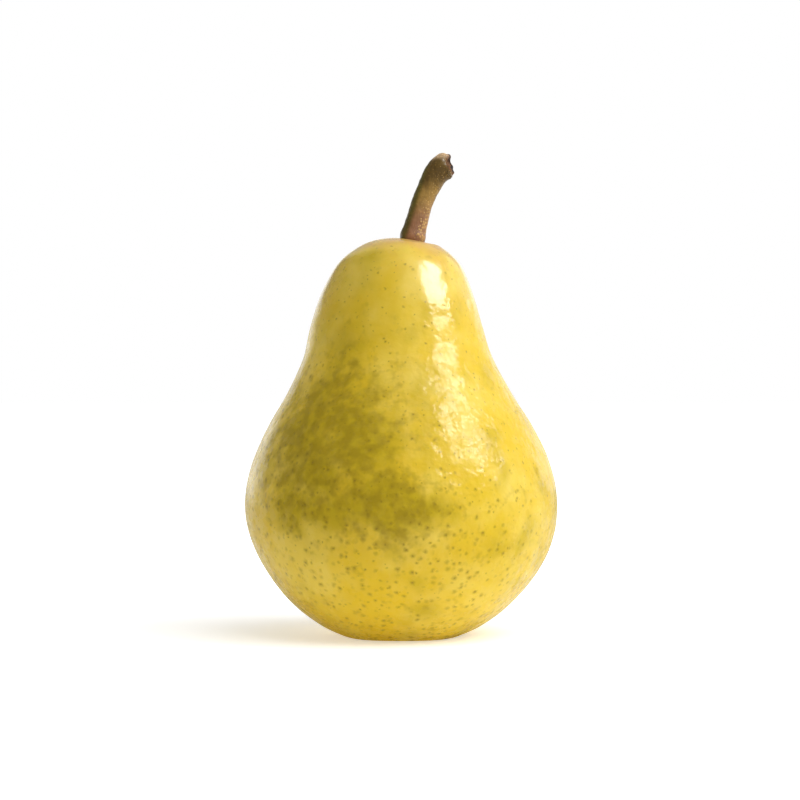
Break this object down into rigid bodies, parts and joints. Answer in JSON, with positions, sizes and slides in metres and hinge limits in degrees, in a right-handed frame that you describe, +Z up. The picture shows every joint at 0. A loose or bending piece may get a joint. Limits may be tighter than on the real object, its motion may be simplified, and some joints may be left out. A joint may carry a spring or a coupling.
{
  "type": "pear",
  "caption": "Whole ripe pear standing on its base, with a leaning woody stem and a dried calyx in the basin underneath.",
  "frame": {"origin": "middle of the flat foot, on the surface that the pear stands on", "axes": "+Z up from the foot to the crown; +X the way the stem leans; +Y away from the front view"},
  "size_m": [0.0703, 0.0692, 0.1085],
  "materials": {
    "pear_skin": "satin, waxy, yellow with greenish patches and small brown dots",
    "stem_bark": "dull, finely wrinkled brown bark with pale flecks",
    "dried_sepal": "matt, dry and brittle, grey-brown",
    "dried_stamen": "matt, withered, dark brown"
  },
  "bodies": {
    "root": {"fruit": "pear_skin", "stem": "stem_bark", "sepal_1": "dried_sepal", "sepal_2": "dried_sepal", "sepal_3": "dried_sepal", "sepal_4": "dried_sepal", "sepal_5": "dried_sepal", "stamens": "dried_stamen"}
  },
  "joints": []
}
